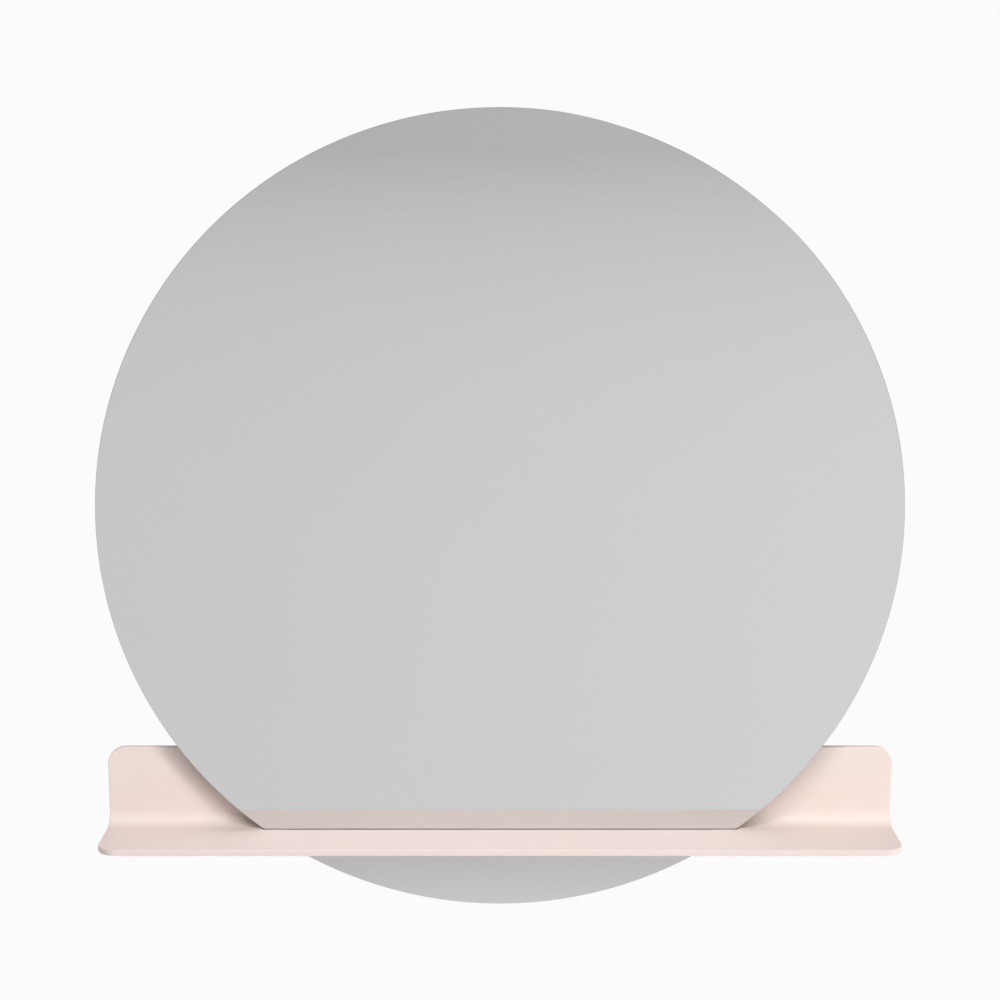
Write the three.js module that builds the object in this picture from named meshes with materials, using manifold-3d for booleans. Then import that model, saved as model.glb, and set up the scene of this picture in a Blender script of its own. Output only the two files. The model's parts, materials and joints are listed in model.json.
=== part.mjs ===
// Round frameless wall mirror that passes down through the slot of a folded metal shelf.
//
// Frame: millimetres, +X to the right, +Y into the wall, +Z up. The wall is the plane y = 0, so every
// piece lies at y <= 0. The origin is the centre of the flat rear face of the shelf's back plate.
import * as THREE from 'three';
import { mergeVertices } from 'three/addons/utils/BufferGeometryUtils.js';
import Module from 'manifold-3d';

const wasm = await Module();
wasm.setup();

// ---------------------------------------------------------------- driving dimensions, in millimetres

// Mirror
const MIRROR_DIAMETER = 800;
const GLASS_THICKNESS = 5;
const GLASS_ARRIS = 0.6; // small polished chamfer on both edges of the rim
const GLASS_STANDOFF = 20; // wall to the back of the glass
const MIRROR_BELOW_SHELF = 80; // how far the mirror reaches below the top of the shelf

// Shelf, one folded sheet
const SHELF_OVERHANG = 0; // end of the shelf past the side of the mirror: the two are flush
const SHELF_DEPTH = 86; // wall to the front edge
const SHELF_SHEET = 6;
const SHELF_BEND_RADIUS = 15; // inner radius of the cove
const PLATE_FLAT_HEIGHT = 66; // flat part of the back plate, above the bend
const PLATE_CORNER_RADIUS = 18;
const SHELF_CORNER_RADIUS = 20;
const SHELF_EDGE_ROUND = 0.8; // on every free edge of the sheet
const FOLD_LAP = 4; // how far the folded strip runs on into the two flats that it joins
const SLOT_SIDE_GAP = 2.1; // glass face to the side of the slot
const SLOT_END_GAP = 2.6; // glass rim to the round end of the slot, at the top of the shelf
const WALL_HOLE_RADIUS = 2.75;
const WALL_HOLE_SINK_RADIUS = 5.25; // mouth of the 90 degree countersink
const WALL_HOLE_PITCH = 160;
const WALL_HOLE_COUNT = 4;

// Saddles that line the two ends of the slot and carry the rim
const SADDLE_LENGTH = 26;
const SADDLE_RECESS = 0.8; // top of the saddle below the top of the shelf
const SADDLE_LIP = 2.5;
const SADDLE_LIP_THICKNESS = 1.6;

// Backing board behind the upper part of the glass
const BOARD_THICKNESS = 9;
const BOARD_INSET = 50; // rim of the glass to the rim of the board
const BOARD_ABOVE_PLATE = 12; // top of the back plate to the flat foot of the board
const TAPE_THICKNESS = 1;
const TAPE_WIDTH = 20;
const TAPE_COUNT = 6;
const TAPE_SIDE_MARGIN = 100; // rim of the board to the middle of the outer strip
const TAPE_END_MARGIN = 25;

// Hanging cleats, the same rolled section twice, one turned over to hook on the other
const CLEAT_LENGTH = 400;
const CLEAT_SHEET = 2;
const CLEAT_FLANGE = 25;
const CLEAT_HOOK = 10;
const CLEAT_BELOW_TOP = 210; // top of the mirror to the root of the wall cleat's hook
const CLEAT_HOLE_COUNT = 4;
const CLEAT_HOLE_MARGIN = 30; // end of the cleat to its outer hole
const CLEAT_WALL_HOLE_RADIUS = 2.75;

// Screws that hold the mirror cleat to the board
const SCREW_SHANK_RADIUS = 2;
const SCREW_SHANK_LENGTH = 8.5;
const SCREW_TIP_LENGTH = 2;
const SCREW_HEAD_RADIUS = 3.8;
const SCREW_HEAD_HEIGHT = 2.4;
const SCREW_HEAD_ROUND = 0.8;

// Rubber bumpers
const BUMPER_RADIUS = 10;
const BUMPER_ROUND = 1.5;
const BOARD_BUMPER_SPACING = 400;
const BOARD_BUMPER_MARGIN = 25; // flat foot of the board to the middle of the bumper

// Clearances
const SEAT_GAP = 0.3; // between two pieces that touch
const BORE_GAP = 0.3; // round a screw in its hole
const CUT_OVERRUN = 5; // how far a cutting tool runs past the face it cuts

// Facets
const RIM_STEPS = 144;
const BEND_STEPS = 14;
const CORNER_STEPS = 12;
const HOLE_STEPS = 24;
const SLOT_END_STEPS = 12;
const EDGE_STEPS = 4;

// ---------------------------------------------------------------- places worked out from them

// Half width, at a height, of the circle of this radius about the mirror's centre.
const halfChord = (radius, z) => Math.sqrt(radius ** 2 - (z - mirrorCentre) ** 2);

const mirrorRadius = MIRROR_DIAMETER / 2;
const glassBack = -GLASS_STANDOFF;
const glassFront = glassBack - GLASS_THICKNESS;
const glassMiddle = (glassBack + glassFront) / 2;

// The fold turns about a line along X at (foldY, foldZ).
const plateTop = PLATE_FLAT_HEIGHT / 2;
const foldOuterRadius = SHELF_BEND_RADIUS + SHELF_SHEET;
const foldY = -foldOuterRadius;
const foldZ = -PLATE_FLAT_HEIGHT / 2;
const shelfBottom = foldZ - foldOuterRadius;
const shelfTop = shelfBottom + SHELF_SHEET;
const shelfHalfWidth = mirrorRadius + SHELF_OVERHANG;
const mirrorCentre = shelfTop - MIRROR_BELOW_SHELF + mirrorRadius;
const mirrorTop = mirrorCentre + mirrorRadius;

const slotHalfLength = halfChord(mirrorRadius, shelfTop) + SLOT_END_GAP;
const slotHalfWidth = GLASS_THICKNESS / 2 + SLOT_SIDE_GAP;

const tapeFront = glassBack + SEAT_GAP;
const boardFront = tapeFront + TAPE_THICKNESS + SEAT_GAP;
const boardBack = boardFront + BOARD_THICKNESS;
const boardRadius = mirrorRadius - BOARD_INSET;
const boardFoot = plateTop + BOARD_ABOVE_PLATE;

// The hooks of the two cleats lie on either side of the plane half way between wall and board, and the
// slanted web of the mirror cleat rests on the tip of the wall cleat's hook.
const cleatRoot = mirrorTop - CLEAT_BELOW_TOP;
const cleatDepth = -boardBack - SEAT_GAP; // wall to the face of the mirror cleat that meets the board
const hookOffset = (cleatDepth + SEAT_GAP) / 2; // wall to the near face of the wall cleat's hook
const webMitre = (CLEAT_SHEET / 2) * Math.tan(Math.PI / 8); // the web slants at 45 degrees
const webOverHook = cleatDepth - hookOffset + webMitre;
const mirrorCleatRoot = cleatRoot + hookOffset + CLEAT_HOOK + webOverHook + SEAT_GAP * Math.SQRT2;
const mirrorCleatHoles = mirrorCleatRoot + CLEAT_FLANGE / 2;
const wallCleatHoles = cleatRoot - CLEAT_FLANGE / 2;

// ---------------------------------------------------------------- materials

function paint(color, roughness, metalness = 0) {
  return new THREE.MeshStandardMaterial({ color, roughness, metalness });
}

const MATERIALS = {
  powderCoat: () => paint(0xf4e3dc, 0.5),
  mirror: () => paint(0xc9cacf, 0.03, 1),
  board: () => paint(0x6b5847, 0.8),
  tape: () => paint(0xe9e8e2, 0.85),
  aluminium: () => paint(0xc4c6c8, 0.35, 1),
  zinc: () => paint(0xb9bcc2, 0.3, 1),
  rubber: () => paint(0x2b2b2d, 0.8),
  silicone: () => paint(0xd9d6d0, 0.45),
};

// ---------------------------------------------------------------- helpers

// One welded body, without the flat triangles that a lathe leaves on its axis.
function weld(geometry) {
  const bare = geometry.clone();
  bare.deleteAttribute('normal');
  bare.deleteAttribute('uv');
  const merged = mergeVertices(bare, 1e-4);
  const kept = [];
  const { array } = merged.index;
  for (let i = 0; i < array.length; i += 3) {
    const [a, b, c] = [array[i], array[i + 1], array[i + 2]];
    if (a !== b && b !== c && c !== a) kept.push(a, b, c);
  }
  merged.setIndex(kept);
  return merged;
}

function toSolid(geometry) {
  const { attributes, index } = weld(geometry);
  const vertProperties = Float32Array.from(attributes.position.array);
  const triVerts = Uint32Array.from(index.array);
  return new wasm.Manifold(new wasm.Mesh({ numProp: 3, vertProperties, triVerts }));
}

function toGeometry(solid) {
  const { vertProperties, triVerts } = solid.getMesh();
  const geometry = new THREE.BufferGeometry();
  geometry.setAttribute('position', new THREE.BufferAttribute(vertProperties, 3));
  geometry.setIndex(new THREE.BufferAttribute(triVerts, 1));
  return geometry;
}

function cut(geometry, tools) {
  return toGeometry(tools.reduce((rest, tool) => rest.subtract(toSolid(tool)), toSolid(geometry)));
}

function extrude(shape, depth, curveSegments) {
  return new THREE.ExtrudeGeometry(shape, { depth, bevelEnabled: false, steps: 1, curveSegments });
}

// Outline in X and Z, standing upright from the plane y = back forward to y = front.
function upright(shape, front, back, steps) {
  return extrude(shape, back - front, steps).rotateX(Math.PI / 2).translate(0, back, 0);
}

// Outline in X and Y, lying level between two heights.
function level(shape, bottom, top, steps) {
  return extrude(shape, top - bottom, steps).translate(0, 0, bottom);
}

// The same, from z = 0 up, with the edges of both end faces rounded inside the outline.
function extrudeRounded(shape, depth, round, curveSegments) {
  const geometry = new THREE.ExtrudeGeometry(shape, {
    depth: depth - 2 * round,
    bevelThickness: round,
    bevelSize: round,
    bevelOffset: -round,
    bevelSegments: EDGE_STEPS,
    curveSegments,
  });
  return geometry.translate(0, 0, round);
}

// Turns what was extruded from a section in Y and Z so that it runs along X, centred on x = 0.
function alongX(geometry, length) {
  const yzx = new THREE.Matrix4().makeBasis(
    new THREE.Vector3(0, 1, 0),
    new THREE.Vector3(0, 0, 1),
    new THREE.Vector3(1, 0, 0),
  );
  return geometry.applyMatrix4(yzx).translate(-length / 2, 0, 0);
}

// Body of revolution about an axis along Y. The profile is a list of [radius, y] from the front to the back.
function turned(profile, steps) {
  return new THREE.LatheGeometry(profile.map(([r, y]) => new THREE.Vector2(r, y)), steps);
}

// Points of a quarter round between two directions, given in quarter turns.
function quarter(r, y, radius, from, steps = EDGE_STEPS) {
  return Array.from({ length: steps + 1 }, (_, i) => {
    const angle = ((from + i / steps) * Math.PI) / 2;
    return [r + radius * Math.cos(angle), y + radius * Math.sin(angle)];
  });
}

// Evenly spaced places on both sides of zero, from -reach to +reach.
function spread(count, reach) {
  return Array.from({ length: count }, (_, i) => -reach + (2 * reach * i) / (count - 1));
}

const group = new THREE.Group();

function add(name, geometry, material) {
  const mesh = new THREE.Mesh(geometry, material());
  mesh.name = name;
  group.add(mesh);
  return mesh;
}

// ---------------------------------------------------------------- shelf

// Section of the fold in Y and Z: a quarter ring, with a short straight lap on each side.
function foldSection() {
  const section = new THREE.Shape();
  section.moveTo(0, foldZ + FOLD_LAP);
  section.lineTo(-SHELF_SHEET, foldZ + FOLD_LAP);
  section.absarc(foldY, foldZ, SHELF_BEND_RADIUS, 0, -Math.PI / 2, true);
  section.lineTo(foldY - FOLD_LAP, shelfTop);
  section.lineTo(foldY - FOLD_LAP, shelfBottom);
  section.absarc(foldY, foldZ, foldOuterRadius, -Math.PI / 2, 0, false);
  section.closePath();
  return section;
}

// Back plate in X and Z, from inside the fold's lap up to its two rounded corners.
function plateOutline() {
  const inner = shelfHalfWidth - PLATE_CORNER_RADIUS;
  const low = plateTop - PLATE_CORNER_RADIUS;
  const foot = foldZ + SHELF_EDGE_ROUND;
  const outline = new THREE.Shape();
  outline.moveTo(-shelfHalfWidth, foot);
  outline.lineTo(shelfHalfWidth, foot);
  outline.absarc(inner, low, PLATE_CORNER_RADIUS, 0, Math.PI / 2, false);
  outline.absarc(-inner, low, PLATE_CORNER_RADIUS, Math.PI / 2, Math.PI, false);
  outline.closePath();
  return outline;
}

// Shelf in X and Y, from inside the fold's lap out to its two rounded corners.
function shelfOutline() {
  const inner = shelfHalfWidth - SHELF_CORNER_RADIUS;
  const near = -SHELF_DEPTH + SHELF_CORNER_RADIUS;
  const root = foldY - SHELF_EDGE_ROUND;
  const outline = new THREE.Shape();
  outline.moveTo(shelfHalfWidth, root);
  outline.lineTo(-shelfHalfWidth, root);
  outline.absarc(-inner, near, SHELF_CORNER_RADIUS, Math.PI, 1.5 * Math.PI, false);
  outline.absarc(inner, near, SHELF_CORNER_RADIUS, 1.5 * Math.PI, 2 * Math.PI, false);
  outline.closePath();
  return outline;
}

// Long hole with round ends, centred under the glass. It grows or shrinks by the margin all round.
function slotOutline(margin) {
  const radius = slotHalfWidth + margin;
  const inner = slotHalfLength - slotHalfWidth;
  const outline = new THREE.Shape();
  outline.absarc(inner, glassMiddle, radius, -Math.PI / 2, Math.PI / 2, false);
  outline.absarc(-inner, glassMiddle, radius, Math.PI / 2, 1.5 * Math.PI, false);
  outline.closePath();
  return outline;
}

// Countersunk screw hole through the back plate, wide at the front.
function wallHole(x) {
  const mouth = -SHELF_SHEET;
  const flare = WALL_HOLE_SINK_RADIUS + CUT_OVERRUN;
  const sinkDepth = WALL_HOLE_SINK_RADIUS - WALL_HOLE_RADIUS;
  const profile = [
    [0, mouth - CUT_OVERRUN],
    [flare, mouth - CUT_OVERRUN],
    [WALL_HOLE_RADIUS, mouth + sinkDepth],
    [WALL_HOLE_RADIUS, CUT_OVERRUN],
    [0, CUT_OVERRUN],
  ];
  return turned(profile, HOLE_STEPS).translate(x, 0, 0);
}

function wallHolePlaces() {
  return spread(WALL_HOLE_COUNT, ((WALL_HOLE_COUNT - 1) * WALL_HOLE_PITCH) / 2);
}

function shelf() {
  const width = 2 * shelfHalfWidth;
  const fold = alongX(extrudeRounded(foldSection(), width, SHELF_EDGE_ROUND, BEND_STEPS), width);
  const plate = extrudeRounded(plateOutline(), SHELF_SHEET, SHELF_EDGE_ROUND, CORNER_STEPS)
    .rotateX(Math.PI / 2);
  const ledge = extrudeRounded(shelfOutline(), SHELF_SHEET, SHELF_EDGE_ROUND, CORNER_STEPS)
    .translate(0, 0, shelfBottom);
  const sheet = toSolid(fold).add(toSolid(plate)).add(toSolid(ledge));
  const below = shelfBottom - CUT_OVERRUN;
  const slot = level(slotOutline(0), below, shelfTop + SHELF_BEND_RADIUS, SLOT_END_STEPS);
  return cut(toGeometry(sheet), [slot, ...wallHolePlaces().map(wallHole)]);
}

// ---------------------------------------------------------------- mirror

// Disc about the mirror's centre. The margin grows it all round, for the clearance that a neighbour needs.
function glassDisc(margin = 0) {
  const radius = mirrorRadius + margin;
  const front = glassFront - margin;
  const back = glassBack + margin;
  const profile = [
    [0, front],
    [radius - GLASS_ARRIS, front],
    [radius, front + GLASS_ARRIS],
    [radius, back - GLASS_ARRIS],
    [radius - GLASS_ARRIS, back],
    [0, back],
  ];
  return turned(profile, RIM_STEPS).translate(0, 0, mirrorCentre);
}

// ---------------------------------------------------------------- slot saddles

// U-shaped liner for one end of the slot: thin beside the glass, a wedge under the rim, and a lip under
// the shelf.
function saddle(side) {
  const top = shelfTop - SADDLE_RECESS;
  const lipTop = shelfBottom - SEAT_GAP;
  const lipBottom = lipTop - SADDLE_LIP_THICKNESS;
  const inSlot = toSolid(level(slotOutline(-SEAT_GAP), lipBottom, top, SLOT_END_STEPS));
  const lip = toSolid(level(slotOutline(SADDLE_LIP), lipBottom, lipTop, SLOT_END_STEPS));
  const reach = SADDLE_LENGTH + SADDLE_LIP + CUT_OVERRUN;
  const width = 2 * (slotHalfWidth + SADDLE_LIP + CUT_OVERRUN);
  const height = top - lipBottom + 2 * CUT_OVERRUN;
  const end = new THREE.BoxGeometry(reach, width, height);
  end.translate(side * (slotHalfLength - SADDLE_LENGTH + reach / 2), glassMiddle, (top + lipBottom) / 2);
  const body = inSlot.add(lip).intersect(toSolid(end));
  return cut(toGeometry(body), [glassDisc(SEAT_GAP)]);
}

// ---------------------------------------------------------------- backing board and tape

// Disc with a flat foot, which keeps the board clear above the back plate.
function boardOutline() {
  const footHalf = halfChord(boardRadius, boardFoot);
  const start = Math.atan2(boardFoot - mirrorCentre, footHalf);
  const outline = new THREE.Shape();
  outline.absarc(0, mirrorCentre, boardRadius, start, Math.PI - start, false);
  outline.closePath();
  return outline;
}

function screwBore(x) {
  const depth = SCREW_SHANK_LENGTH - CLEAT_SHEET - SEAT_GAP + BORE_GAP;
  const radius = SCREW_SHANK_RADIUS + BORE_GAP;
  const bottom = boardBack - depth;
  const profile = [[0, bottom], [radius, bottom], [radius, CUT_OVERRUN], [0, CUT_OVERRUN]];
  return turned(profile, HOLE_STEPS).translate(x, 0, mirrorCleatHoles);
}

function backingBoard() {
  return cut(upright(boardOutline(), boardFront, boardBack, RIM_STEPS), cleatHolePlaces().map(screwBore));
}

// Upright strip of foam tape between glass and board, as long as the board is high there.
function tapeStrip(x) {
  const widest = Math.abs(x) + TAPE_WIDTH / 2;
  const reach = Math.sqrt(boardRadius ** 2 - widest ** 2) - TAPE_END_MARGIN;
  const top = mirrorCentre + reach;
  const bottom = Math.max(mirrorCentre - reach, boardFoot + TAPE_END_MARGIN);
  const strip = new THREE.BoxGeometry(TAPE_WIDTH, TAPE_THICKNESS, top - bottom);
  return strip.translate(x, tapeFront + TAPE_THICKNESS / 2, (top + bottom) / 2);
}

// ---------------------------------------------------------------- cleats

// Section of a cleat in Y and Z: flange on the wall, slanted web, hook that stands off the wall.
function cleatSection() {
  const section = new THREE.Shape();
  section.moveTo(0, -CLEAT_FLANGE);
  section.lineTo(0, webMitre);
  section.lineTo(-hookOffset, hookOffset + webMitre);
  section.lineTo(-hookOffset, hookOffset + CLEAT_HOOK);
  section.lineTo(-hookOffset - CLEAT_SHEET, hookOffset + CLEAT_HOOK);
  section.lineTo(-hookOffset - CLEAT_SHEET, hookOffset - webMitre);
  section.lineTo(-CLEAT_SHEET, -webMitre);
  section.lineTo(-CLEAT_SHEET, -CLEAT_FLANGE);
  section.closePath();
  return section;
}

function cleatBar() {
  return alongX(extrude(cleatSection(), CLEAT_LENGTH, 1), CLEAT_LENGTH);
}

function cleatHolePlaces() {
  return spread(CLEAT_HOLE_COUNT, CLEAT_LENGTH / 2 - CLEAT_HOLE_MARGIN);
}

function cleatHole(x, z, radius) {
  const front = -cleatDepth - CUT_OVERRUN;
  const profile = [[0, front], [radius, front], [radius, CUT_OVERRUN], [0, CUT_OVERRUN]];
  return turned(profile, HOLE_STEPS).translate(x, 0, z);
}

function wallCleat() {
  const bar = cleatBar().translate(0, 0, cleatRoot);
  return cut(bar, cleatHolePlaces().map((x) => cleatHole(x, wallCleatHoles, CLEAT_WALL_HOLE_RADIUS)));
}

function mirrorCleat() {
  const bar = cleatBar().rotateX(Math.PI).translate(0, -cleatDepth, mirrorCleatRoot);
  const radius = SCREW_SHANK_RADIUS + BORE_GAP;
  return cut(bar, cleatHolePlaces().map((x) => cleatHole(x, mirrorCleatHoles, radius)));
}

// Pan head screw, head towards the wall, driven through the mirror cleat into the board.
function cleatScrew(x) {
  const seat = -cleatDepth + CLEAT_SHEET + SEAT_GAP;
  const headTop = seat + SCREW_HEAD_HEIGHT;
  const tip = seat - SCREW_SHANK_LENGTH;
  const profile = [
    [0, tip],
    [SCREW_SHANK_RADIUS, tip + SCREW_TIP_LENGTH],
    [SCREW_SHANK_RADIUS, seat],
    [SCREW_HEAD_RADIUS, seat],
    ...quarter(SCREW_HEAD_RADIUS - SCREW_HEAD_ROUND, headTop - SCREW_HEAD_ROUND, SCREW_HEAD_ROUND, 0),
    [0, headTop],
  ];
  return turned(profile, HOLE_STEPS).translate(x, 0, mirrorCleatHoles);
}

// ---------------------------------------------------------------- bumpers

// Round rubber foot stuck on at its front face, with a rounded edge at the back.
function bumper(front, back, x, z) {
  const profile = [
    [0, front],
    [BUMPER_RADIUS, front],
    ...quarter(BUMPER_RADIUS - BUMPER_ROUND, back - BUMPER_ROUND, BUMPER_ROUND, 0),
    [0, back],
  ];
  return turned(profile, HOLE_STEPS).translate(x, 0, z);
}

// ---------------------------------------------------------------- assembly

add('shelf', shelf(), MATERIALS.powderCoat);
add('mirror_glass', weld(glassDisc()), MATERIALS.mirror);
add('slot_saddle_left', saddle(-1), MATERIALS.silicone);
add('slot_saddle_right', saddle(1), MATERIALS.silicone);
add('backing_board', backingBoard(), MATERIALS.board);
spread(TAPE_COUNT, boardRadius - TAPE_SIDE_MARGIN).forEach((x, i) => {
  add(`mounting_tape_${i + 1}`, weld(tapeStrip(x)), MATERIALS.tape);
});
add('mirror_cleat', mirrorCleat(), MATERIALS.aluminium);
add('wall_cleat', wallCleat(), MATERIALS.aluminium);
cleatHolePlaces().forEach((x, i) => {
  add(`cleat_screw_${i + 1}`, weld(cleatScrew(x)), MATERIALS.zinc);
});
for (const [side, x] of [['left', -1], ['right', 1]]) {
  const glassBumper = bumper(glassBack + SEAT_GAP, -SHELF_SHEET - SEAT_GAP, x * WALL_HOLE_PITCH, 0);
  add(`glass_bumper_${side}`, weld(glassBumper), MATERIALS.rubber);
  const wallBumperZ = boardFoot + BOARD_BUMPER_MARGIN;
  const wallBumper = bumper(boardBack + SEAT_GAP, 0, (x * BOARD_BUMPER_SPACING) / 2, wallBumperZ);
  add(`wall_bumper_${side}`, weld(wallBumper), MATERIALS.rubber);
}

export default group;
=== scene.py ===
"""Round wall mirror that passes through a coved, powder-coated metal shelf.

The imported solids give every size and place. This script dresses them, replaces the pieces whose
surface needs a finer mesh, and sets up the camera and a plain pale studio. Units are metres in
the object's own frame: the wall is the plane y = 0, the room is towards -Y, and Z is up.
"""

import json
import logging
import math
from collections.abc import Iterable, Sequence
from dataclasses import dataclass, field
from enum import Enum

import bmesh
import bpy
from mathutils import Matrix, Vector

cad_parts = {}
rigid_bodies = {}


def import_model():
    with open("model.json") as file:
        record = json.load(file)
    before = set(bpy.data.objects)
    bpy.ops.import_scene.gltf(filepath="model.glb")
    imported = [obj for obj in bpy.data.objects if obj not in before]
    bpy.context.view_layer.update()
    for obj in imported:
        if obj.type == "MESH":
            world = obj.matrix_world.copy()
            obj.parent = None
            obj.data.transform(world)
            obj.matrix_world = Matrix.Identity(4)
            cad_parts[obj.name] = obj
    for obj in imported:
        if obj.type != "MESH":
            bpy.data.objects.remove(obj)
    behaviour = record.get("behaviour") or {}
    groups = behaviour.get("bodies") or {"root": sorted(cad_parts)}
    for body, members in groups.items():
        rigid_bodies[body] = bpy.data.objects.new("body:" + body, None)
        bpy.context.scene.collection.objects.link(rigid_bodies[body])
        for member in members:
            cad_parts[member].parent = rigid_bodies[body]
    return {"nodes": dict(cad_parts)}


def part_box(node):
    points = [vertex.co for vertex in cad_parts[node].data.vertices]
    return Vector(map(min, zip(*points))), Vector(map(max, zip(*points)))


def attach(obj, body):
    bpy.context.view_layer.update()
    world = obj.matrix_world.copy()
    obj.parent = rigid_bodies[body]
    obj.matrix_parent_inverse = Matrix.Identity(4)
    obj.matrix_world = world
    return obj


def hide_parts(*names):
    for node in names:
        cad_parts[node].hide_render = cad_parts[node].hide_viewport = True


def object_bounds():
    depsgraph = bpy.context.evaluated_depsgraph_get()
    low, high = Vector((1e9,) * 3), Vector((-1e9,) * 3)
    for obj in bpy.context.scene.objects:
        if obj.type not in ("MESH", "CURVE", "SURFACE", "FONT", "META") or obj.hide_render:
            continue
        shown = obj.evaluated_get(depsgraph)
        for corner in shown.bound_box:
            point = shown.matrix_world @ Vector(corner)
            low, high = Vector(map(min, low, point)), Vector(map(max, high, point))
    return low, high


for leftover in list(bpy.data.objects):
    bpy.data.objects.remove(leftover)
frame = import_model()
CAD_LOW, CAD_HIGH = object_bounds()

LOG = logging.getLogger("mirror_with_shelf")
MM = 0.001
BODY = "root"
WELD_GAP = 0.002 * MM
FACE_WEIGHT = 90
CREASE_DEG = 30.0
BACKDROP = "#FBFBFB"
WHITE = "#FFFFFF"

# The Mix node gives its number and colour sockets the same names, so they go by their places.
NUMBER_A = 2
NUMBER_B = 3
COLOUR_A = 6
COLOUR_B = 7
MIXED_COLOUR = 2

Colour = tuple[float, float, float, float]
Profile = Sequence[tuple[float, float]]


class Slot(Enum):
    """Names of some of the record's material slots, which the pieces made here don't use."""

    MIRROR = "mirror"
    ZINC_STEEL = "zinc_steel"
    RUBBER = "rubber"


class Side(Enum):
    """A side of the object, as someone in front of it sees it."""

    LEFT = "left"
    RIGHT = "right"


class Rest(Enum):
    """What a bumper rests against."""

    GLASS = "glass"
    WALL = "wall"


class Pattern(Enum):
    """A kind of pattern that a surface can have."""

    CLOUDS = "ShaderNodeTexNoise"
    CELLS = "ShaderNodeTexVoronoi"


# ------------------------------------------------------------------ small helpers


def linear(hex_code: str) -> Colour:
    """Turns an sRGB hex value into Blender's linear colour.

    Args:
        hex_code: Six hex digits after a hash sign.

    Returns:
        Red, green, blue and an alpha of 1.
    """
    levels = [int(hex_code[i : i + 2], 16) / 255 for i in (1, 3, 5)]
    bright = [v / 12.92 if v <= 0.04045 else ((v + 0.055) / 1.055) ** 2.4 for v in levels]
    return (bright[0], bright[1], bright[2], 1.0)


def per_mm(size_mm: float) -> float:
    """Scale of a texture whose pattern repeats about every size_mm."""
    return 1 / (size_mm * MM)


def add_node(
    tree: bpy.types.NodeTree,
    kind: str,
    inputs: dict[str | int, object] | None = None,
    **settings: object,
) -> bpy.types.Node:
    """Adds one node, with its settings and what feeds it.

    Args:
        tree: The node tree.
        kind: Blender's name for the node's type.
        inputs: Values, or output sockets to link, by the input's name or number.
        **settings: Properties of the node itself.

    Returns:
        The new node.
    """
    node = tree.nodes.new(kind)
    for name, value in settings.items():
        setattr(node, name, value)
    for key, value in (inputs or {}).items():
        if isinstance(value, bpy.types.NodeSocket):
            tree.links.new(value, node.inputs[key])
        else:
            node.inputs[key].default_value = value
    return node


def arc(centre: tuple[float, float], radius: float, start: float, end: float, steps: int) -> Profile:
    """Points on an arc.

    Args:
        centre: Its centre.
        radius: Its radius.
        start: First angle in degrees, from the first axis towards the second.
        end: Last angle in degrees.
        steps: How many chords the arc has.

    Returns:
        The points, both ends included.
    """
    angles = [math.radians(start + (end - start) * i / steps) for i in range(steps + 1)]
    return [(centre[0] + radius * math.cos(a), centre[1] + radius * math.sin(a)) for a in angles]


# ------------------------------------------------------------------ finishes


@dataclass(frozen=True)
class Surface:
    """A material in the making, with the steps that most finishes share.

    Its shader is the Principled one, and its place is the point on the piece, in metres.
    """

    tree: bpy.types.NodeTree
    shader: bpy.types.Node
    place: bpy.types.NodeSocket

    def pattern(
        self,
        kind: Pattern,
        size_mm: float,
        place: bpy.types.NodeSocket | None = None,
        **inputs: float,
    ) -> bpy.types.NodeSocket:
        """Adds a pattern whose scale comes from a real size.

        Args:
            kind: What it looks like.
            size_mm: About how often it repeats.
            place: Where it is read, if that isn't the plain point on the piece.
            **inputs: Its other values, by Blender's names.

        Returns:
            The pattern, from 0 to 1.
        """
        wanted = {"Vector": place or self.place, "Scale": per_mm(size_mm), **inputs}
        return add_node(self.tree, kind.value, wanted).outputs[0]

    def mottle(self, pattern: bpy.types.NodeSocket, colour: str, other: str) -> None:
        """Lets the colour drift between two.

        Args:
            pattern: 0 for the first colour and 1 for the other.
            colour: The first colour, as hex.
            other: The other colour, as hex.
        """
        ends = {"Factor": pattern, COLOUR_A: linear(colour), COLOUR_B: linear(other)}
        mix = add_node(self.tree, "ShaderNodeMix", ends, data_type="RGBA")
        self.tree.links.new(mix.outputs[MIXED_COLOUR], self.shader.inputs["Base Color"])

    def rub(self, pattern: bpy.types.NodeSocket, low: float, high: float) -> None:
        """Lets the roughness vary with a pattern.

        Args:
            pattern: A value from 0 to 1.
            low: Roughness at 0.
            high: Roughness at 1.
        """
        span = {"Value": pattern, "To Min": low, "To Max": high}
        mapped = add_node(self.tree, "ShaderNodeMapRange", span)
        self.tree.links.new(mapped.outputs["Result"], self.shader.inputs["Roughness"])

    def relieve(self, pattern: bpy.types.NodeSocket, relief_mm: float) -> None:
        """Raises a pattern from the surface.

        Args:
            pattern: The height, from 0 to 1.
            relief_mm: How high 1 stands above 0.
        """
        raised = {"Height": pattern, "Distance": relief_mm * MM, "Strength": 1.0}
        bump = add_node(self.tree, "ShaderNodeBump", raised)
        self.tree.links.new(bump.outputs["Normal"], self.shader.inputs["Normal"])


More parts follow.
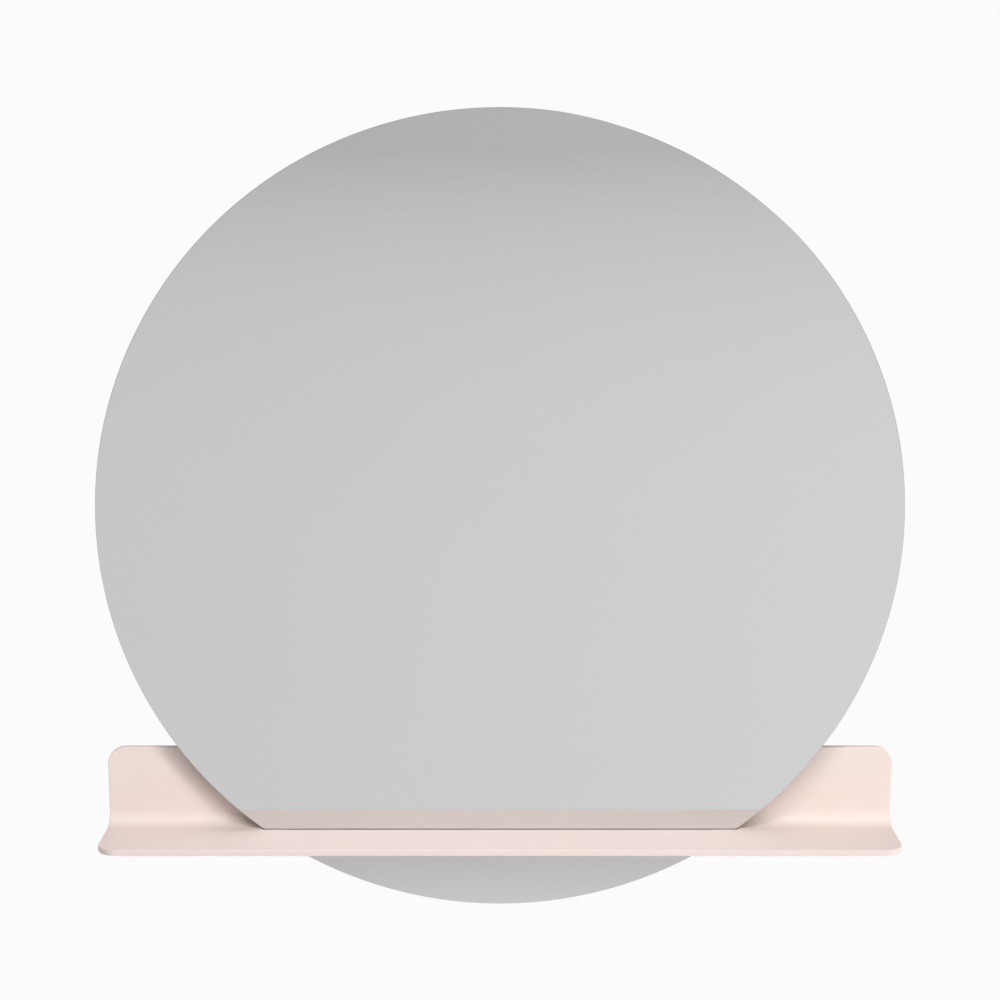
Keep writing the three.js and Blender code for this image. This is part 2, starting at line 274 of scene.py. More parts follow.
@dataclass(frozen=True)
class Finish:
    """One real material and how its surface was made."""

    name: str
    colour: str
    roughness: float
    metallic: float = 0.0

    def material(self) -> bpy.types.Material:
        """Makes the Blender material.

        Returns:
            A material with one Principled shader, detailed by dress().
        """
        made = bpy.data.materials.new(self.name)
        made.use_nodes = True
        tree = made.node_tree
        tree.nodes.clear()
        base = {
            "Base Color": linear(self.colour),
            "Roughness": self.roughness,
            "Metallic": self.metallic,
        }
        shader = add_node(tree, "ShaderNodeBsdfPrincipled", base)
        add_node(tree, "ShaderNodeOutputMaterial", {"Surface": shader.outputs["BSDF"]})
        place = add_node(tree, "ShaderNodeTexCoord").outputs["Object"]
        self.dress(Surface(tree, shader, place))
        return made

    def dress(self, surface: Surface) -> None:
        """Adds what the surface shows beyond one colour and one roughness.

        Args:
            surface: The material in the making.
        """


@dataclass(frozen=True)
class PowderCoat(Finish):
    """Polyester powder coat, sprayed dry on aluminium sheet and baked.

    It gives an even pale colour with a soft satin sheen, broken up by a faint orange peel.
    """

    drift: str = "#ECDBD5"
    drift_mm: float = 90.0
    peel_mm: float = 2.2
    peel_relief_mm: float = 0.006
    grain_mm: float = 0.35
    satin: tuple[float, float] = (0.40, 0.48)

    def dress(self, surface: Surface) -> None:
        """Adds the orange peel, the fine grain in the sheen and a slow drift in film thickness.

        Args:
            surface: The material in the making.
        """
        peel = surface.pattern(Pattern.CLOUDS, self.peel_mm, Detail=1.5)
        grain = surface.pattern(Pattern.CLOUDS, self.grain_mm)
        film = surface.pattern(Pattern.CLOUDS, self.drift_mm, Detail=1.0)
        surface.relieve(peel, self.peel_relief_mm)
        surface.rub(grain, *self.satin)
        surface.mottle(film, self.colour, self.drift)


@dataclass(frozen=True)
class Silvering(Finish):
    """Silvered float glass seen from the front: a wet-chemical silver film behind flat glass.

    It gives a sharp, neutral reflection, a little darker than what it shows.
    """

    film: str = "#DFDFDF"
    wipe_mm: float = 160.0

    def dress(self, surface: Surface) -> None:
        """Adds the faint clouding of a wiped surface.

        Args:
            surface: The material in the making.
        """
        wipe = surface.pattern(Pattern.CLOUDS, self.wipe_mm, Detail=3.0)
        surface.mottle(wipe, self.colour, self.film)


@dataclass(frozen=True)
class PolishedGlassEdge(Finish):
    """The ground and polished rim of float glass, where its green body colour gathers."""

    depth: str = "#B3C4BB"
    wheel_mm: float = 1.2
    haze: float = 0.05

    def dress(self, surface: Surface) -> None:
        """Adds the fine marks that the polishing wheel leaves round the rim.

        Args:
            surface: The material in the making.
        """
        marks = surface.pattern(Pattern.CLOUDS, self.wheel_mm)
        surface.mottle(marks, self.colour, self.depth)
        surface.rub(marks, self.roughness, self.roughness + self.haze)


@dataclass(frozen=True)
class BackingPaint(Finish):
    """Grey mirror-backing paint, curtain-coated over the silver and baked: even, with a dull sheen."""

    shade: str = "#767D7C"
    wave_mm: float = 45.0
    tooth_mm: float = 1.1
    tooth_relief_mm: float = 0.01

    def dress(self, surface: Surface) -> None:
        """Adds the slow waves of the coating and a fine tooth.

        Args:
            surface: The material in the making.
        """
        waves = surface.pattern(Pattern.CLOUDS, self.wave_mm, Detail=4.0)
        tooth = surface.pattern(Pattern.CLOUDS, self.tooth_mm)
        surface.mottle(waves, self.colour, self.shade)
        surface.relieve(tooth, self.tooth_relief_mm)


@dataclass(frozen=True)
class Fibreboard(Finish):
    """Medium-density fibreboard, pressed and sanded, with a sealed face.

    It gives a warm brown with short pale and dark fibres, and a darker sawn edge. The fibres are
    drawn coarser than their real 0.1 mm width so that they show.
    """

    fibre: str = "#A5845D"
    fibre_mm: float = 1.4
    fibre_relief_mm: float = 0.03
    clump_mm: float = 30.0
    clump_share: float = 0.25
    contrast: tuple[float, float] = (0.38, 0.62)
    sawn: str = "#8C6D4C"

    def dress(self, surface: Surface) -> None:
        """Adds the fibres, the clumps that they form and the darker edge.

        Args:
            surface: The material in the making.
        """
        tree = surface.tree
        fibres = surface.pattern(Pattern.CLOUDS, self.fibre_mm, Detail=6.0, Distortion=1.5)
        clumps = surface.pattern(Pattern.CLOUDS, self.clump_mm, Detail=4.0)
        blend = {"Factor": self.clump_share, NUMBER_A: fibres, NUMBER_B: clumps}
        both = add_node(tree, "ShaderNodeMix", blend)
        low, high = self.contrast
        spread = {"Value": both.outputs[0], "From Min": low, "From Max": high}
        drawn = add_node(tree, "ShaderNodeMapRange", spread)
        surface.mottle(drawn.outputs["Result"], self.colour, self.fibre)
        surface.relieve(fibres, self.fibre_relief_mm)
        self.darken_edge(surface)

    def darken_edge(self, surface: Surface) -> None:
        """Gives the faces that don't look along Y the colour of the sawn edge.

        Args:
            surface: The material in the making.
        """
        tree = surface.tree
        base = surface.shader.inputs["Base Color"]
        face_colour = base.links[0].from_socket
        normal = add_node(tree, "ShaderNodeNewGeometry").outputs["Normal"]
        parts = add_node(tree, "ShaderNodeSeparateXYZ", {"Vector": normal})
        facing = add_node(tree, "ShaderNodeMath", {0: parts.outputs["Y"]}, operation="ABSOLUTE")
        ends = {"Factor": facing.outputs[0], COLOUR_A: linear(self.sawn), COLOUR_B: face_colour}
        mix = add_node(tree, "ShaderNodeMix", ends, data_type="RGBA")
        tree.links.new(mix.outputs[MIXED_COLOUR], base)


@dataclass(frozen=True)
class FoamTape(Finish):
    """Closed-cell acrylic foam tape, coated and slit: matt and off-white, with pinhole cells.

    The cells are drawn at 0.5 mm so that they show.
    """

    cell: str = "#D6D4CC"
    cell_mm: float = 0.5
    cell_relief_mm: float = 0.05

    def dress(self, surface: Surface) -> None:
        """Adds the cells.

        Args:
            surface: The material in the making.
        """
        cells = surface.pattern(Pattern.CELLS, self.cell_mm)
        surface.mottle(cells, self.colour, self.cell)
        surface.relieve(cells, self.cell_relief_mm)


@dataclass(frozen=True)
class ExtrudedAluminium(Finish):
    """Natural anodised aluminium, extruded: satin silver with die lines along its length."""

    line: str = "#BFC2C4"
    line_mm: float = 0.5
    line_relief_mm: float = 0.01
    stretch: float = 90.0
    sheen_drift: float = 0.08

    def dress(self, surface: Surface) -> None:
        """Adds the die lines, which run along X.

        Args:
            surface: The material in the making.
        """
        drawn_out = {"Vector": surface.place, "Scale": (1 / self.stretch, 1.0, 1.0)}
        along = add_node(surface.tree, "ShaderNodeMapping", drawn_out).outputs[0]
        lines = surface.pattern(Pattern.CLOUDS, self.line_mm, along, Detail=3.0)
        surface.mottle(lines, self.colour, self.line)
        surface.rub(lines, self.roughness - self.sheen_drift, self.roughness + self.sheen_drift)
        surface.relieve(lines, self.line_relief_mm)


@dataclass(frozen=True)
class ZincPlate(Finish):
    """Bright zinc, electroplated on cold-headed steel: a hard silver with a faint blue passivation."""

    passivation: str = "#B7C1CC"
    patch_mm: float = 3.5
    dulling: tuple[float, float] = (-0.06, 0.1)

    def dress(self, surface: Surface) -> None:
        """Adds patches of the passivation and the dullness between them.

        Args:
            surface: The material in the making.
        """
        patches = surface.pattern(Pattern.CLOUDS, self.patch_mm, Detail=3.0)
        surface.mottle(patches, self.colour, self.passivation)
        bright, dull = self.dulling
        surface.rub(patches, self.roughness + bright, self.roughness + dull)


@dataclass(frozen=True)
class MouldedRubber(Finish):
    """Black rubber, compression moulded: matt, with the fine texture of an eroded mould."""

    bloom: str = "#2B2B2D"
    bloom_mm: float = 6.0
    texture_mm: float = 0.4
    texture_relief_mm: float = 0.03

    def dress(self, surface: Surface) -> None:
        """Adds the mould's texture and the grey bloom on old rubber.

        Args:
            surface: The material in the making.
        """
        bloom = surface.pattern(Pattern.CLOUDS, self.bloom_mm, Detail=4.0)
        texture = surface.pattern(Pattern.CLOUDS, self.texture_mm)
        surface.mottle(bloom, self.colour, self.bloom)
        surface.relieve(texture, self.texture_relief_mm)


@dataclass(frozen=True)
class MouldedSilicone(Finish):
    """Translucent silicone, injection moulded: milky, soft-edged and slightly glossy."""

    milk: str = "#CFCFCB"
    cloud_mm: float = 5.0
    ior: float = 1.41
    light_share: float = 0.6
    light_reach_mm: float = 2.0

    def dress(self, surface: Surface) -> None:
        """Lets light into the piece and clouds it a little.

        Args:
            surface: The material in the making.
        """
        reach = self.light_reach_mm * MM
        sockets = surface.shader.inputs
        sockets["IOR"].default_value = self.ior
        sockets["Subsurface Weight"].default_value = self.light_share
        sockets["Subsurface Radius"].default_value = (reach, reach, reach)
        surface.mottle(surface.pattern(Pattern.CLOUDS, self.cloud_mm), self.colour, self.milk)


# ------------------------------------------------------------------ meshes


def dress_node(name: str, finish: bpy.types.Material, crease_deg: float = CREASE_DEG) -> bpy.types.Object:
    """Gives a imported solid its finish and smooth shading, with its shape as it is.

    Args:
        name: The solid's node.
        finish: Its material.
        crease_deg: Faces that meet at more than this angle keep a hard edge.

    Returns:
        The solid.
    """
    node = frame["nodes"][name]
    node.data.materials.clear()
    node.data.materials.append(finish)
    node.data.polygons.foreach_set("use_smooth", [True] * len(node.data.polygons))
    node.modifiers.new("weld", "WELD").merge_threshold = WELD_GAP
    split = node.modifiers.new("crease", "EDGE_SPLIT")
    split.split_angle = math.radians(crease_deg)
    shading = node.modifiers.new("shading", "WEIGHTED_NORMAL")
    shading.weight = FACE_WEIGHT
    LOG.info("%s: packed solid, %s", name, finish.name)
    return node


@dataclass(frozen=True)
class Thread:
    """A thread that runs along Y."""

    start: float
    end: float
    pitch: float
    depth: float

    def depth_at(self, y: float, turn: float) -> float:
        """How deep the thread is cut.

        Args:
            y: Place along the screw.
            turn: Place round it, from 0 to 1.

        Returns:
            The depth, from 0 at the crest.
        """
        if not self.start <= y <= self.end:
            return 0.0
        wave = (y / self.pitch + turn) % 1
        return self.depth * (1 - abs(2 * wave - 1))


def turned(
    profile: Profile,
    segments: int,
    band_finish: dict[int, int] | None = None,
    thread: Thread | None = None,
) -> bmesh.types.BMesh:
    """Turns a profile about the Y axis into a closed mesh.

    Args:
        profile: Radius and y of each ring, in metres, from one end's centre to the other's.
        segments: How many faces go round.
        band_finish: The material index of a band between two rings, by its number from the first
            end. It is 0 for a band that isn't named.
        thread: A thread that the rings in its range are cut with.

    Returns:
        The mesh.
    """
    mesh = bmesh.new()
    rings: list[list[bmesh.types.BMVert]] = []
    for radius, y in profile:
        if radius == 0:
            rings.append([mesh.verts.new((0, y, 0))])
            continue
        ring = []
        for step in range(segments):
            turn = step / segments
            cut = thread.depth_at(y, turn) if thread else 0.0
            angle = 2 * math.pi * turn
            reach = radius - cut
            ring.append(mesh.verts.new((reach * math.cos(angle), y, reach * math.sin(angle))))
        rings.append(ring)
    finishes = band_finish or {}
    for band, (near, far) in enumerate(zip(rings, rings[1:])):
        for step in range(segments):
            after = (step + 1) % segments
            corners = [near[step % len(near)], far[step % len(far)]]
            if len(far) > 1:
                corners.append(far[after])
            if len(near) > 1:
                corners.append(near[after])
            mesh.faces.new(corners).material_index = finishes.get(band, 0)
    bmesh.ops.recalc_face_normals(mesh, faces=mesh.faces)
    return mesh


def as_piece(
    mesh: bmesh.types.BMesh,
    name: str,
    place: Vector,
    finishes: Iterable[bpy.types.Material],
    stands_for: str,
    crease_deg: float = CREASE_DEG,
) -> bpy.types.Object:
    """Puts a mesh into the scene as a piece of the object.

    Args:
        mesh: The mesh, which is freed.
        name: The piece's name.
        place: Where its own origin lies in the object's frame.
        finishes: Its materials, in the order of the faces' material indices.
        stands_for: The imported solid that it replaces.
        crease_deg: Faces that meet at more than this angle keep a hard edge.

    Returns:
        The piece.
    """
    data = bpy.data.meshes.new(name)
    mesh.to_mesh(data)
    mesh.free()
    for finish in finishes:
        data.materials.append(finish)
    data.shade_smooth()
    data.set_sharp_from_angle(angle=math.radians(crease_deg))
    piece = bpy.data.objects.new(name, data)
    piece.location = place
    bpy.context.scene.collection.objects.link(piece)
    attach(piece, BODY)
    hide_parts(stands_for)
    LOG.info("%s: %d faces, stands for %s", name, len(data.polygons), stands_for)
    return piece


# ------------------------------------------------------------------ the shelf


@dataclass
class CovedShelf:
    """The folded sheet that is back plate, cove and shelf in one, with its two saddles."""

    crease_deg: float = 40.0
    coat: PowderCoat = PowderCoat("powder_coat_on_aluminium", "#EEDDD7", 0.44)
    silicone: MouldedSilicone = MouldedSilicone("moulded_silicone", "#DEDEDA", 0.35)

    def build(self) -> None:
        """Dresses the sheet and the saddles that the glass stands in."""
        dress_node("shelf", self.coat.material(), self.crease_deg)
        moulded = self.silicone.material()
        for side in Side:
            dress_node(f"slot_saddle_{side.value}", moulded)


# ------------------------------------------------------------------ the mirror


@dataclass
class RoundMirror:
    """The silvered disc with the board, tapes and bumpers behind it."""

    arris: float = 0.6 * MM
    rim_segments: int = 720
    tape_count: int = 6
    silver: Silvering = Silvering("silvered_float_glass", "#DDDDDD", 0.0, 1.0)
    bevel: Silvering = Silvering("polished_bevel_over_silver", "#D2D5D3", 0.04, 1.0, "#CCD0CE")
    rim: PolishedGlassEdge = PolishedGlassEdge("polished_glass_edge", "#C2D0C8", 0.24)
    backing: BackingPaint = BackingPaint("mirror_backing_paint", "#828988", 0.42)
    board: Fibreboard = Fibreboard("sealed_fibreboard", "#B4946E", 0.55)
    tape: FoamTape = FoamTape("acrylic_foam_tape", "#E9E8E3", 0.85)

    def build(self) -> None:
        """Makes the glass and dresses what is behind it."""
        self.glass()
        dress_node("backing_board", self.board.material())
        foam = self.tape.material()
        for number in range(1, self.tape_count + 1):
            dress_node(f"mounting_tape_{number}", foam)

    def glass(self) -> bpy.types.Object:
        """Makes the disc with a true round rim, polished chamfers and a painted back.

        Returns:
            The disc.
        """
        low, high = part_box("mirror_glass")
        middle = (low + high) / 2
        radius = (high.x - low.x) / 2
        half = (high.y - low.y) / 2
        flat = radius - self.arris
        profile = [(0, half), (flat, half), (radius, half - self.arris), (radius, self.arris - half)]
        profile += [(flat, -half), (0, -half)]
        looks = (self.silver, self.rim, self.backing, self.bevel)
        bands = (self.backing, self.rim, self.rim, self.bevel, self.silver)
        band_finish = {band: looks.index(look) for band, look in enumerate(bands)}
        mesh = turned(profile, self.rim_segments, band_finish)
        finishes = [look.material() for look in looks]
        return as_piece(mesh, "silvered_glass", middle, finishes, "mirror_glass")


# ------------------------------------------------------------------ bumpers


@dataclass
class Bumper:
    """A round rubber bumper with soft edges and a shallow waist."""

    name: str
    rubber: bpy.types.Material
    rounding: float = 1.5 * MM
    waist: float = 0.35 * MM
    segments: int = 96
    steps: int = 8

    def build(self) -> bpy.types.Object:
        """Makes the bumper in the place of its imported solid.

        Returns:
            The bumper.
        """
        low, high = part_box(self.name)
        middle = (low + high) / 2
        radius = (high.x - low.x) / 2
        half = (high.y - low.y) / 2
        corner = radius - self.rounding
        top = arc((corner, half - self.rounding), self.rounding, 90, 0, self.steps)
        foot = arc((corner, self.rounding - half), self.rounding, 0, -90, self.steps)
        side = []
        for share in (step / self.steps for step in range(1, self.steps)):
            drawn_in = self.waist * math.sin(math.pi * share)
            side.append((radius - drawn_in, (half - self.rounding) * (1 - 2 * share)))
        mesh = turned([(0, half), *top, *side, *foot, (0, -half)], self.segments)
        return as_piece(mesh, f"{self.name}_rubber", middle, [self.rubber], self.name)


# ------------------------------------------------------------------ cleats and screws


@dataclass
class PanHeadScrew:
    """A pan head screw with a cross recess."""

    name: str
    zinc: bpy.types.Material
    head_height: float = 2.4 * MM
    shank_radius: float = 2.0 * MM
    tip_length: float = 2.0 * MM
    tip_blunt: float = 0.3 * MM
    tip_round: float = 0.1 * MM
    crown: float = 0.9 * MM
    recess_width: float = 0.9 * MM
    recess_reach: float = 2.1 * MM
    recess_depth: float = 1.3 * MM
    recess_taper: float = 0.55
    thread_pitch: float = 1.6 * MM
    thread_depth: float = 0.45 * MM
    thread_runout: float = 1.2 * MM
    segments: int = 48
    shank_rings: int = 48
    dome_steps: int = 9
    crease_deg: float = 35.0

    def build(self) -> bpy.types.Object:
        """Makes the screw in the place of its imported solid.

        Returns:
            The screw.
        """
        low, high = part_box(self.name)
        axis = Vector(((low.x + high.x) / 2, 0, (low.z + high.z) / 2))
        thread = Thread(
            start=low.y + self.tip_length,
            end=high.y - self.head_height - self.thread_runout,
            pitch=self.thread_pitch,
            depth=self.thread_depth,
        )
        outline = self.outline(low.y, high.y, (high.x - low.x) / 2)
        mesh = turned(outline, self.segments, thread=thread)
        name = f"{self.name}_turned"
        piece = as_piece(mesh, name, axis, [self.zinc], self.name, self.crease_deg)
        self.cut_recess(piece, high.y)
        return piece

    def outline(self, foot: float, top: float, radius: float) -> Profile:
        """Works out the rings of the screw, without its thread and recess.

        Args:
            foot: The y of its tip.
            top: The y of the top of its head.
            radius: The radius of its head.

        Returns:
            Radius and y of each ring, from the tip to the head.
        """
        under = top - self.head_height
        tip = foot + self.tip_length
        edge = top - self.crown
        shank = []
        for ring in range(self.shank_rings + 1):
            shank.append((self.shank_radius, tip + (under - tip) * ring / self.shank_rings))
        dome = []
        for step in range(self.dome_steps):
            rise = math.radians(90 * step / self.dome_steps)
            dome.append((radius * math.cos(rise), edge + self.crown * math.sin(rise)))
        point = [(0, foot), (self.tip_blunt, foot + self.tip_round)]
        return [*point, *shank, (radius, under), *dome, (0, top)]

    def cut_recess(self, piece: bpy.types.Object, top: float) -> None:
        """Cuts the cross into the head.

        Args:
            piece: The screw.
            top: The y of the top of its head.
        """
        cutter = bmesh.new()
        for turn in (0, 90):
            size = Matrix.Diagonal((2 * self.recess_reach, 2 * self.recess_depth, self.recess_width, 1))
            wing = Matrix.Rotation(math.radians(turn), 4, "Y") @ size
            bmesh.ops.create_cube(cutter, size=1, matrix=wing)
        for vert in cutter.verts:
            taper = self.recess_taper if vert.co.y < 0 else 1.0
            vert.co = Vector((vert.co.x * taper, vert.co.y + top, vert.co.z * taper))
        data = bpy.data.meshes.new("cross_recess")
        cutter.to_mesh(data)
        cutter.free()
        tool = bpy.data.objects.new("cross_recess", data)
        tool.location = piece.location
        bpy.context.scene.collection.objects.link(tool)
        bpy.context.view_layer.update()
        cut = piece.modifiers.new("recess", "BOOLEAN")
        cut.object = tool
        cut.operation = "DIFFERENCE"
        cut.solver = "EXACT"
        cut.use_self = True
        seen = piece.evaluated_get(bpy.context.evaluated_depsgraph_get())
        carved = bpy.data.meshes.new_from_object(seen)
        piece.modifiers.clear()
        piece.data = carved
        bpy.data.objects.remove(tool)


@dataclass
class CleatPair:
    """The two interlocking hanging cleats and the screws of the upper one."""

    screw_count: int = 4
    aluminium: ExtrudedAluminium = ExtrudedAluminium("anodised_extruded_aluminium", "#CDD0D1", 0.36, 1.0)
    zinc: ZincPlate = ZincPlate("zinc_plated_steel", "#CBCFD3", 0.28, 1.0)

    def build(self) -> None:
        """Dresses both cleats and makes the screws."""
        extruded = self.aluminium.material()
        for name in ("mirror_cleat", "wall_cleat"):
            dress_node(name, extruded)
        plated = self.zinc.material()
        for number in range(1, self.screw_count + 1):
            PanHeadScrew(f"cleat_screw_{number}", plated).build()


# ------------------------------------------------------------------ studio


def towards(bearing_deg: float, rise_deg: float) -> Vector:
    """Direction from the mirror into the room.

    Args:
        bearing_deg: Angle to the right of straight ahead.
        rise_deg: Angle above level.

    Returns:
        The direction, one unit long.
    """
    bearing, rise = math.radians(bearing_deg), math.radians(rise_deg)
    level = math.cos(rise)
    return Vector((math.sin(bearing) * level, -math.cos(bearing) * level, math.sin(rise)))


@dataclass(frozen=True)
class PhotoCamera:
    """A camera in the photograph's place: centred, upright and pitched a little down.

    Its place and pitch were fitted to the oval of the mirror's rim and to the shelf's outline.
    """

    out: float = 1.91207
    height: float = 0.63082
    pitch_deg: float = 10.175
    lens_mm: float = 70.0
    sensor_mm: float = 36.0

    def build(self) -> None:
        """Makes the camera and gives it to the scene."""
        data = bpy.data.cameras.new("camera")
        data.lens = self.lens_mm
        data.sensor_width = self.sensor_mm
        camera = bpy.data.objects.new("camera", data)
        camera.location = (0, -self.out, self.height)
        camera.rotation_euler = (math.radians(90 - self.pitch_deg), 0, 0)
        bpy.context.scene.collection.objects.link(camera)
        bpy.context.scene.camera = camera


@dataclass(frozen=True)
class Softbox:
    """A round softbox, placed by where it stands as seen from the middle of the shelf.

    Its distance and its size are in metres. One that isn't mirrored leaves no white disc in the
    mirror and no white patch on bare metal.
    """

    name: str
    bearing_deg: float
    rise_deg: float
    distance: float
    size: float
    watts: float
    mirrored: bool = True
    colour: str = WHITE

    def build(self, target: Vector) -> None:
        """Makes the lamp.

        Args:
            target: What it points at.
        """
        data = bpy.data.lights.new(self.name, "AREA")
        data.shape = "DISK"
        data.size = self.size
        data.energy = self.watts
        data.color = linear(self.colour)[:3]
        lamp = bpy.data.objects.new(self.name, data)
        away = towards(self.bearing_deg, self.rise_deg)
        lamp.location = target + self.distance * away
        lamp.rotation_euler = (-away).to_track_quat("-Z", "Y").to_euler()
        lamp.visible_glossy = self.mirrored
        bpy.context.scene.collection.objects.link(lamp)


@dataclass(frozen=True)
class Room:
    """The surroundings: white where the camera looks, and grey walls in what the mirror shows.

    The greys are linear light levels. Seen in the mirror, the room is darkest at eye level and
    brightens towards the floor, which has a soft shade straight in front of the mirror. A bright
    window stands high on its right, and the mirror passes the window's light on to the shelf.
    """

    backdrop: str = BACKDROP
    deep_level: float = 0.83
    horizon_drop: float = 0.224
    drop_rate: float = 19.0
    horizon_level: float = 0.605
    side_gain: float = 0.07
    side_reach: float = 0.25
    fill_level: float = 0.34
    window_level: float = 2.0
    window_bearing_deg: float = 60.0
    window_rise_deg: float = 52.0
    window_edge_deg: tuple[float, float] = (32.0, 14.0)
    floor_shade: float = 0.20
    shade_depth: tuple[float, float, float] = (-0.380, -0.352, -0.332)
    shade_width: tuple[float, float] = (0.15, 0.36)

    def build(self) -> None:
        """Makes the world."""
        world = bpy.data.worlds.new("room")
        world.use_nodes = True
        bpy.context.scene.world = world
        tree = world.node_tree
        tree.nodes.clear()
        grey = self.mirrored_grey(tree)
        white = add_node(tree, "ShaderNodeBackground", {"Color": linear(self.backdrop), "Strength": 1.0})
        walls = add_node(tree, "ShaderNodeBackground", {"Strength": grey})
        fill = add_node(tree, "ShaderNodeBackground", {"Strength": self.fill_level})
        for plain in (walls, fill):
            plain.inputs["Color"].default_value = linear(WHITE)
        path = add_node(tree, "ShaderNodeLightPath").outputs
        rays = {0: path["Is Glossy Ray"], 1: path["Is Transmission Ray"]}
        mirrored = add_node(tree, "ShaderNodeMath", rays, operation="MAXIMUM")
        room = {0: mirrored.outputs[0], 1: fill.outputs[0], 2: walls.outputs[0]}
        around = add_node(tree, "ShaderNodeMixShader", room)
        seen = {0: path["Is Camera Ray"], 1: around.outputs[0], 2: white.outputs[0]}
        both = add_node(tree, "ShaderNodeMixShader", seen)
        add_node(tree, "ShaderNodeOutputWorld", {"Surface": both.outputs[0]})

    def mirrored_grey(self, tree: bpy.types.NodeTree) -> bpy.types.NodeSocket:
        """Builds the light level of the walls from the direction that is looked in.

        It is deep_level less horizon_drop * exp(drop_rate * Z), but horizon_level at least. It
        rises by side_gain towards the right and falls by as much towards the left.

        Args:
            tree: The world's node tree.

        Returns:
            The level.
        """
        direction = add_node(tree, "ShaderNodeTexCoord").outputs["Generated"]
        axes = add_node(tree, "ShaderNodeSeparateXYZ", {"Vector": direction}).outputs
        steep = {0: axes["Z"], 1: self.drop_rate}
        rise = add_node(tree, "ShaderNodeMath", steep, operation="MULTIPLY")
        grown = add_node(tree, "ShaderNodeMath", {0: rise.outputs[0]}, operation="EXPONENT")
        falling = {0: grown.outputs[0], 1: -self.horizon_drop, 2: self.deep_level}
        fall = add_node(tree, "ShaderNodeMath", falling, operation="MULTIPLY_ADD")
        held = {0: fall.outputs[0], 1: self.horizon_level}
        level = add_node(tree, "ShaderNodeMath", held, operation="MAXIMUM")
        across = {
            "Value": axes["X"],
            "From Min": -self.side_reach,
            "From Max": self.side_reach,
            "To Min": 1 - self.side_gain,
            "To Max": 1 + self.side_gain,
        }
        side = add_node(tree, "ShaderNodeMapRange", across)
        both = {0: level.outputs[0], 1: side.outputs["Result"]}
        plain = add_node(tree, "ShaderNodeMath", both, operation="MULTIPLY")
        floor = {0: plain.outputs[0], 1: self.shaded_floor(tree, axes["X"], axes["Z"])}
        shaded = add_node(tree, "ShaderNodeMath", floor, operation="MULTIPLY")
        lit = {0: shaded.outputs[0], 1: self.window(tree, direction)}
        return add_node(tree, "ShaderNodeMath", lit, operation="ADD").outputs[0]

    def shaded_floor(
        self,
        tree: bpy.types.NodeTree,
        sideways: bpy.types.NodeSocket,
        rise: bpy.types.NodeSocket,
    ) -> bpy.types.NodeSocket:
        """Builds the soft shade on the floor in front of the mirror, which shows under the shelf.

        Args:
            tree: The world's node tree.
            sideways: The X of the direction that is looked in.
            rise: The Z of that direction.

        Returns:
            How much of the light is left, up to 1.
        """
        low, middle, high = self.shade_depth
        under = add_node(tree, "ShaderNodeMapRange", {"Value": rise, "From Min": low, "From Max": middle})
        over = add_node(tree, "ShaderNodeMapRange", {"Value": rise, "From Min": high, "From Max": middle})
        shares = {0: under.outputs["Result"], 1: over.outputs["Result"]}
        deep = add_node(tree, "ShaderNodeMath", shares, operation="MULTIPLY")
        aside = add_node(tree, "ShaderNodeMath", {0: sideways}, operation="ABSOLUTE")
        narrow, wide = self.shade_width
        span = {"Value": aside.outputs[0], "From Min": wide, "From Max": narrow}
        middling = add_node(tree, "ShaderNodeMapRange", span)
        both = {0: deep.outputs[0], 1: middling.outputs["Result"]}
        share = add_node(tree, "ShaderNodeMath", both, operation="MULTIPLY")
        kept = {0: share.outputs[0], 1: -self.floor_shade, 2: 1.0}
        return add_node(tree, "ShaderNodeMath", kept, operation="MULTIPLY_ADD").outputs[0]

    def window(self, tree: bpy.types.NodeTree, direction: bpy.types.NodeSocket) -> bpy.types.NodeSocket:
        """Builds the light level of the window, which fades out round its edge.

        Args:
            tree: The world's node tree.
            direction: Where the ray goes.

        Returns:
            The level.
        """
        middle = towards(self.window_bearing_deg, self.window_rise_deg)
        near = add_node(tree, "ShaderNodeVectorMath", {0: direction, 1: middle}, operation="DOT_PRODUCT")
        outer, inner = (math.cos(math.radians(angle)) for angle in self.window_edge_deg)
        span = {"Value": near.outputs["Value"], "From Min": outer, "From Max": inner}
        span["To Max"] = self.window_level
        lit = add_node(tree, "ShaderNodeMapRange", span, interpolation_type="SMOOTHSTEP")
        return lit.outputs["Result"]


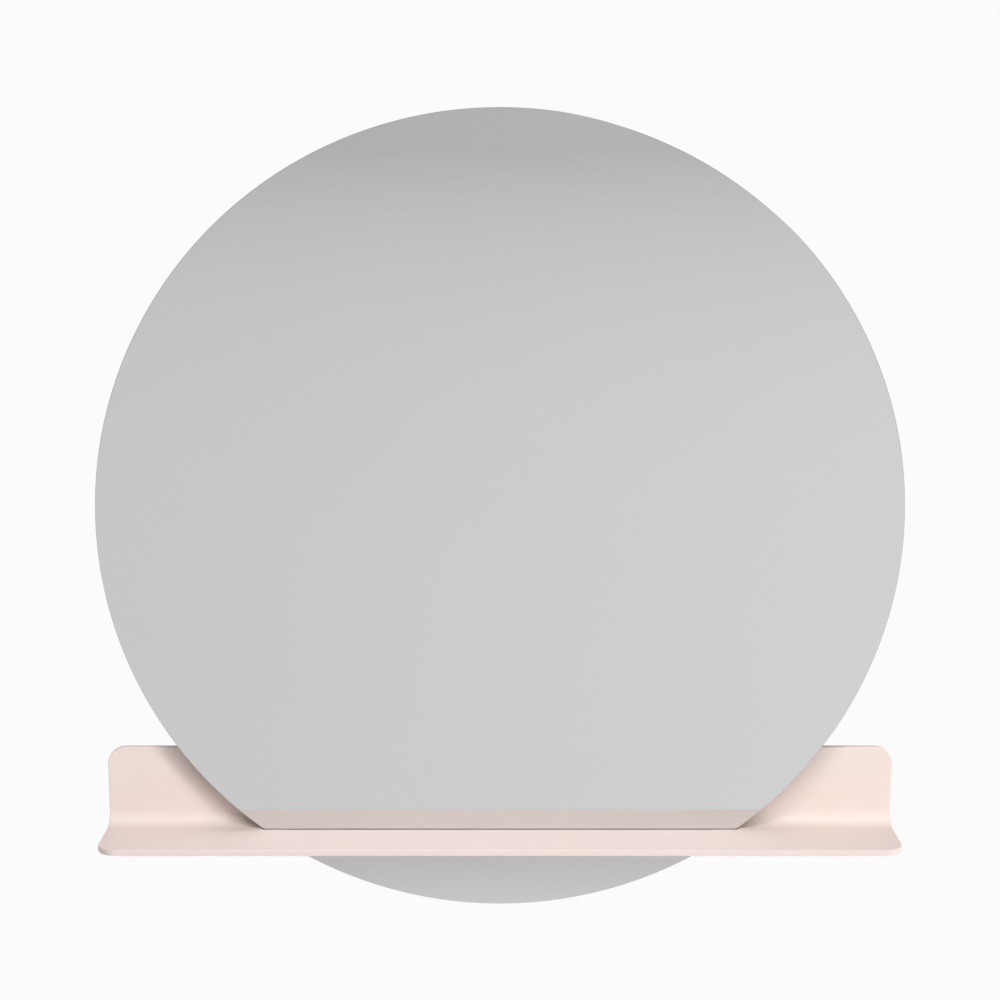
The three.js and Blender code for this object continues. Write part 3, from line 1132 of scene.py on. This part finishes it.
@dataclass(frozen=True)
class PaleFloor:
    """A pale floor far below the mirror, which fades into the backdrop away from the object."""

    below_centre: float = 1.5
    radius: float = 8.0
    segments: int = 96
    colour: str = "#F1F0EE"
    backdrop: str = BACKDROP
    fade: tuple[float, float] = (1.2, 2.0)

    def build(self, centre: Vector) -> None:
        """Makes the floor.

        Args:
            centre: The middle of the object.
        """
        mesh = bmesh.new()
        bmesh.ops.create_circle(mesh, cap_ends=True, segments=self.segments, radius=self.radius)
        data = bpy.data.meshes.new("floor")
        mesh.to_mesh(data)
        mesh.free()
        data.materials.append(self.material())
        floor = bpy.data.objects.new("floor", data)
        floor.location = (0, 0, centre.z - self.below_centre)
        floor.visible_glossy = False
        floor.visible_transmission = False
        bpy.context.scene.collection.objects.link(floor)

    def material(self) -> bpy.types.Material:
        """Makes matt paint that turns into the plain backdrop for the camera, far from the object.

        Returns:
            The material.
        """
        made = bpy.data.materials.new("matt_floor_paint")
        made.use_nodes = True
        tree = made.node_tree
        tree.nodes.clear()
        paint = add_node(tree, "ShaderNodeBsdfDiffuse", {"Color": linear(self.colour)})
        plain = add_node(tree, "ShaderNodeEmission", {"Color": linear(self.backdrop), "Strength": 1.0})
        place = add_node(tree, "ShaderNodeTexCoord").outputs["Object"]
        away = add_node(tree, "ShaderNodeVectorMath", {0: place}, operation="LENGTH")
        reach = {"Value": away.outputs["Value"], "From Min": self.fade[0], "From Max": self.fade[1]}
        far = add_node(tree, "ShaderNodeMapRange", reach, interpolation_type="SMOOTHSTEP")
        camera = add_node(tree, "ShaderNodeLightPath").outputs["Is Camera Ray"]
        share = {0: far.outputs["Result"], 1: camera}
        factor = add_node(tree, "ShaderNodeMath", share, operation="MULTIPLY")
        blend = {0: factor.outputs[0], 1: paint.outputs[0], 2: plain.outputs[0]}
        mix = add_node(tree, "ShaderNodeMixShader", blend)
        add_node(tree, "ShaderNodeOutputMaterial", {"Surface": mix.outputs[0]})
        return made


@dataclass
class Studio:
    """The camera, the softboxes, the room and the floor."""

    camera: PhotoCamera = PhotoCamera()
    room: Room = Room()
    floor: PaleFloor = PaleFloor()
    softboxes: tuple[Softbox, ...] = (
        Softbox("softbox_right", 56.0, 2.0, 7.0, 1.9, 248.0, mirrored=False),
        Softbox("softbox_front", 0.0, 42.0, 3.0, 0.8, 15.0),
        Softbox("softbox_top", 0.0, 62.0, 3.0, 0.8, 31.0),
        Softbox("softbox_behind", 168.0, 2.0, 3.0, 2.0, 46.0, mirrored=False),
    )

    def build(self) -> None:
        """Sets up everything round the object."""
        bpy.context.scene.view_settings.view_transform = "Standard"
        low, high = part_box("shelf")
        self.camera.build()
        self.room.build()
        self.floor.build((CAD_LOW + CAD_HIGH) / 2)
        for softbox in self.softboxes:
            softbox.build((low + high) / 2)


# ------------------------------------------------------------------ the whole


@dataclass
class MirrorWithShelf:
    """The whole object."""

    shelf: CovedShelf = field(default_factory=CovedShelf)
    mirror: RoundMirror = field(default_factory=RoundMirror)
    cleats: CleatPair = field(default_factory=CleatPair)
    rubber: MouldedRubber = MouldedRubber("moulded_rubber", "#1E1E20", 0.6)

    def build(self) -> None:
        """Builds the sub-assemblies from the wall outwards."""
        self.cleats.build()
        self.shelf.build()
        self.mirror.build()
        moulded = self.rubber.material()
        for side in Side:
            for rest in Rest:
                Bumper(f"{rest.value}_bumper_{side.value}", moulded).build()


def main() -> None:
    """Builds the studio and the object."""
    logging.basicConfig(level=logging.INFO, format="%(name)s: %(message)s")
    Studio().build()
    MirrorWithShelf().build()


if __name__ == "__main__":
    main()
